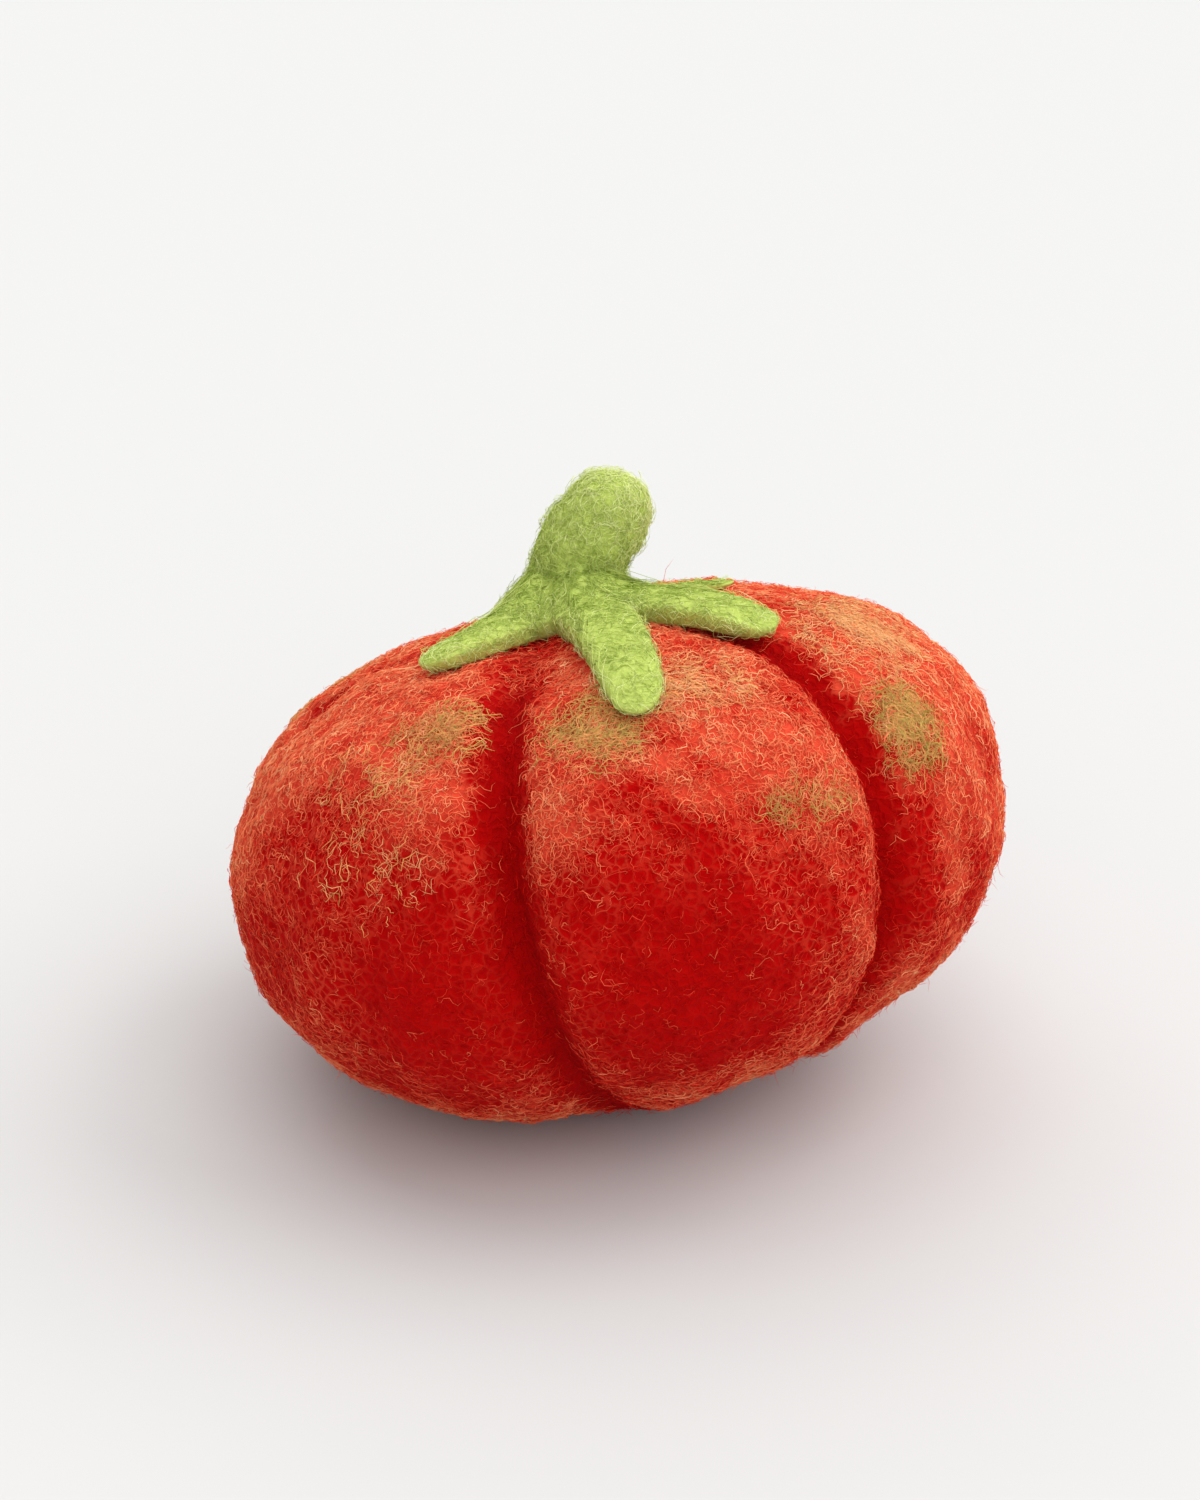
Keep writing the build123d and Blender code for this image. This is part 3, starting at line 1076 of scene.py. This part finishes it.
def material_of(name):
    """One of the wools by name, made the first time it is asked for."""
    if name in bpy.data.materials:
        return bpy.data.materials[name]
    c = settings("tomato_colours")
    if name == "red felt":
        return felt_material(name, c.red, c.deep_red_and_shade, c.coral, None)
    if name == "green felt":
        return felt_material(name, c.green, c.dark_green_and_shade, c.pale_green, 0.12)
    if name == "undyed wool":
        return felt_material(name, c.undyed, [x * 0.7 for x in c.undyed], (0.85, 0.8, 0.7), 0.4)
    if name == "coral strands":
        stops = [(0.0, (0.80, 0.02, 0.01)), (0.4, c.coral), (0.8, c.pale_coral), (1.0, (1.0, 0.48, 0.24))]
        return strand_material(name, stops)
    if name == "olive strands":
        stops = [(0.0, (0.90, 0.48, 0.22)), (0.3, c.straw), (0.75, c.olive), (1.0, (0.30, 0.26, 0.04))]
        return strand_material(name, stops)
    if name == "red fuzz":
        return strand_material(name, [(0.0, c.red), (0.4, (0.85, 0.02, 0.01)), (1.0, c.pale_coral)])
    if name == "green strands":
        # the darkest stop also gives painted shade at the hub and the stem's foot, the palest stop painted
        # light at the stem's head
        stops = [(0.0, c.dark_green_and_shade), (0.4, c.green), (0.8, c.pale_green), (1.0, (0.82, 0.88, 0.40))]
        return strand_material(name, stops)
    raise ValueError(f"there is no wool called {name}")


# ---------------------------------------------------------------- operators


class TOMATO_OT_core(bpy.types.Operator):
    """Give the hidden core its undyed wool"""

    bl_idname = "tomato.core"
    bl_label = "Core wool"

    def execute(self, context):
        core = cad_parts["wool_core"]
        core.data.materials.clear()
        core.data.materials.append(material_of("undyed wool"))
        return {"FINISHED"}


class TOMATO_OT_lobes(bpy.types.Operator):
    """Felt the five red lobes"""

    bl_idname = "tomato.lobes"
    bl_label = "Lobes"

    def execute(self, context):
        for name in LOBES:
            build_lobe(name, material_of("red felt"))
        return {"FINISHED"}


class TOMATO_OT_veils(bpy.types.Operator):
    """Lay a veil of coral strands over each lobe"""

    bl_idname = "tomato.veils"
    bl_label = "Coral veils"

    def execute(self, context):
        for index, name in enumerate(LOBES):
            build_veil(name, material_of("coral strands"), 100 + index)
        return {"FINISHED"}


class TOMATO_OT_tufts(bpy.types.Operator):
    """Needle straw and olive wisps onto the veils"""

    bl_idname = "tomato.tufts"
    bl_label = "Olive tufts"

    def execute(self, context):
        for index, name in enumerate(TUFTS):
            build_tuft(name, material_of("olive strands"), 200 + index)
        return {"FINISHED"}


class TOMATO_OT_fuzz(bpy.types.Operator):
    """Raise the fine red fuzz of each lobe"""

    bl_idname = "tomato.fuzz"
    bl_label = "Red fuzz"

    def execute(self, context):
        for index, name in enumerate(LOBES):
            build_fuzz(name, material_of("red fuzz"), 300 + index)
        return {"FINISHED"}


class TOMATO_OT_calyx(bpy.types.Operator):
    """Shape the calyx with its five sepals and its fibres"""

    bl_idname = "tomato.calyx"
    bl_label = "Calyx"

    def execute(self, context):
        angles = np.linspace(0, 2 * math.pi, 1440, endpoint=False)
        surface = calyx_surface(angles, calyx_outline(angles), calyx_thickness(angles))
        calyx = closed_surface("calyx_felt", surface, 46, 720, (0, math.pi), material_of("green felt"))
        join_frame(calyx, ["calyx_hub"] + [f"{name}_sepal" for name in SEPALS])
        count = settings("tomato_fibres").calyx_count
        # the calyx strands are darker near the hub: partly darker fibres, partly painted shade under the
        # stem
        green_strands("calyx", surface, (0.15, 1.75), (0.15, 0.75), count, 401)
        return {"FINISHED"}


class TOMATO_OT_stem(bpy.types.Operator):
    """Shape the bent stem and its fibres"""

    bl_idname = "tomato.stem"
    bl_label = "Stem"

    def execute(self, context):
        surface = stem_surface()
        stem = closed_surface("stem_felt", surface, 110, 150, (0, 1), material_of("green felt"))
        join_frame(stem, ["stem"])
        count = settings("tomato_fibres").stem_count
        # the stem strands run from darker at the foot, partly painted shade, to paler at the head, partly
        # painted light
        green_strands("stem", surface, (0.2, 0.99), (0.15, 1.0), count, 402)
        return {"FINISHED"}


def green_strands(name, surface, t_range, tones, count, seed):
    """Short curly fibres on a green piece, most lying flat and some standing off its edge. Their tone goes
    from the first to the second value given along the range of t: darker at the hub and the stem's foot,
    partly darker fibres and partly painted shade, and paler at the stem's head, partly painted light."""
    fibres = settings("tomato_fibres")
    rng = np.random.default_rng(seed)
    t, angle = scatter(rng, surface, count, t_range, (0, 2 * math.pi), evenly)
    loose = rng.random(count) < 0.3
    lines, normal = strand_lines(
        rng, surface, t, angle,
        length=rng.uniform(1.4, 3.8, count) * MM,
        heading=rng.uniform(0, 2 * math.pi, count),
        curl=rng.normal(0, 2.6, count),
        wiggle=0.9,
        lift=np.where(loose, rng.uniform(0.2, 0.7, count), rng.uniform(0.05, 0.26, count)) * MM,
        spring=np.where(loose, rng.gamma(1.5, 0.25, count), 0.0) * MM,
        knots=6,
    )
    radius = np.where(loose, 0.7, 1.0) * fibres.veil_radius * rng.uniform(0.5, 0.95, count)
    # painted shade and light mixed with real fibre colour: the tone follows t from the first to the second
    # value
    tone = np.clip(rng.normal(np.interp(t, t_range, tones), 0.22) + 0.2 * loose, 0, 1)
    wool = material_of("green strands")
    piece = build_strands(f"{name}_green_strands", lines, normal, radius, tone, wool)
    join_frame(piece, [])


class TOMATO_OT_stage(bpy.types.Operator):
    """Set up the table, the soft lights and the camera"""

    bl_idname = "tomato.stage"
    bl_label = "Stage"

    def execute(self, context):
        build_floor()
        build_lights()
        build_camera()
        return {"FINISHED"}


def build_floor():
    """A wide pale table, flat at the tomato's base."""
    material = bpy.data.materials.new("pale table")
    material.use_nodes = True
    shader = material.node_tree.nodes["Principled BSDF"]
    shader.inputs["Base Color"].default_value = (0.6, 0.6, 0.597, 1)
    shader.inputs["Roughness"].default_value = 0.75
    shader.inputs["Specular IOR Level"].default_value = 0.2
    corners = np.array([(-1, -1, 0), (1, -1, 0), (1, 1, 0), (-1, 1, 0)]) * TABLE_HALF
    floor = make_piece("table", corners, [np.array([[0, 1, 2, 3]])], material)


def build_lights():
    """An even pale sky, a broad light overhead, a soft one from the right and another from the front."""
    stage = settings("tomato_stage")
    world = bpy.data.worlds.new("studio sky")
    world.use_nodes = True
    sky = world.node_tree.nodes["Background"]
    sky.inputs["Color"].default_value = (1.0, 0.99, 0.975, 1)
    sky.inputs["Strength"].default_value = stage.sky
    bpy.context.scene.world = world
    for name, strength, spread, direction in (
        ("top", stage.top, 80, (-0.05, -0.45, -1.0)),
        ("side", stage.side, 50, (-1.0, -0.1, -0.9)),
        ("fill", stage.fill, 60, (-0.2, 0.85, -0.75)),
    ):
        lamp = bpy.data.lights.new(name, "SUN")
        lamp.energy = strength
        lamp.angle = math.radians(spread)
        holder = bpy.data.objects.new(name, lamp)
        holder.rotation_euler = Vector(direction).to_track_quat("-Z", "Y").to_euler()
        bpy.context.scene.collection.objects.link(holder)


def build_camera():
    """A long lens that looks slightly down at the front of the tomato."""
    stage = settings("tomato_stage")
    centre = Vector(BODY_CENTRE)
    back = Vector((0, -math.cos(stage.elevation), math.sin(stage.elevation)))
    up = Vector((0, math.sin(stage.elevation), math.cos(stage.elevation)))
    aim = centre + Vector((1, 0, 0)) * stage.aim_right + up * stage.aim_up
    camera = bpy.data.objects.new("camera", bpy.data.cameras.new("camera"))
    camera.data.lens = stage.lens
    camera.data.sensor_width = 36.0
    camera.data.clip_start = 0.01
    camera.data.clip_end = 50.0
    camera.location = centre + back * stage.distance
    camera.rotation_euler = (aim - camera.location).to_track_quat("-Z", "Y").to_euler()
    bpy.context.scene.collection.objects.link(camera)
    bpy.context.scene.camera = camera
    bpy.context.scene.view_settings.view_transform = "Standard"


class TOMATO_PT_panel(bpy.types.Panel):
    """Steps of the felted tomato, in the order they are made"""

    bl_idname = "TOMATO_PT_panel"
    bl_label = "Felted Tomato"
    bl_space_type = "VIEW_3D"
    bl_region_type = "UI"
    bl_category = "Felted Tomato"

    def draw(self, context):
        for operator in OPERATORS:
            self.layout.operator(operator.bl_idname)


OPERATORS = (
    TOMATO_OT_stage,
    TOMATO_OT_core,
    TOMATO_OT_lobes,
    TOMATO_OT_veils,
    TOMATO_OT_tufts,
    TOMATO_OT_fuzz,
    TOMATO_OT_calyx,
    TOMATO_OT_stem,
)
GROUPS = {
    "tomato_body": BodyShape,
    "tomato_colours": WoolColours,
    "tomato_fibres": WoolFibres,
    "tomato_stage": StudioStage,
}


def register():
    for name, group in GROUPS.items():
        bpy.utils.register_class(group)
        setattr(bpy.types.Scene, name, PointerProperty(type=group))
    for operator in OPERATORS:
        bpy.utils.register_class(operator)
    bpy.utils.register_class(TOMATO_PT_panel)


def unregister():
    bpy.utils.unregister_class(TOMATO_PT_panel)
    for operator in reversed(OPERATORS):
        bpy.utils.unregister_class(operator)
    for name, group in GROUPS.items():
        delattr(bpy.types.Scene, name)
        bpy.utils.unregister_class(group)


def main():
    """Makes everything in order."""
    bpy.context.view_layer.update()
    register()
    for operator in OPERATORS:
        getattr(bpy.ops.tomato, operator.bl_idname.split(".")[1])()


if __name__ == "__main__":
    main()
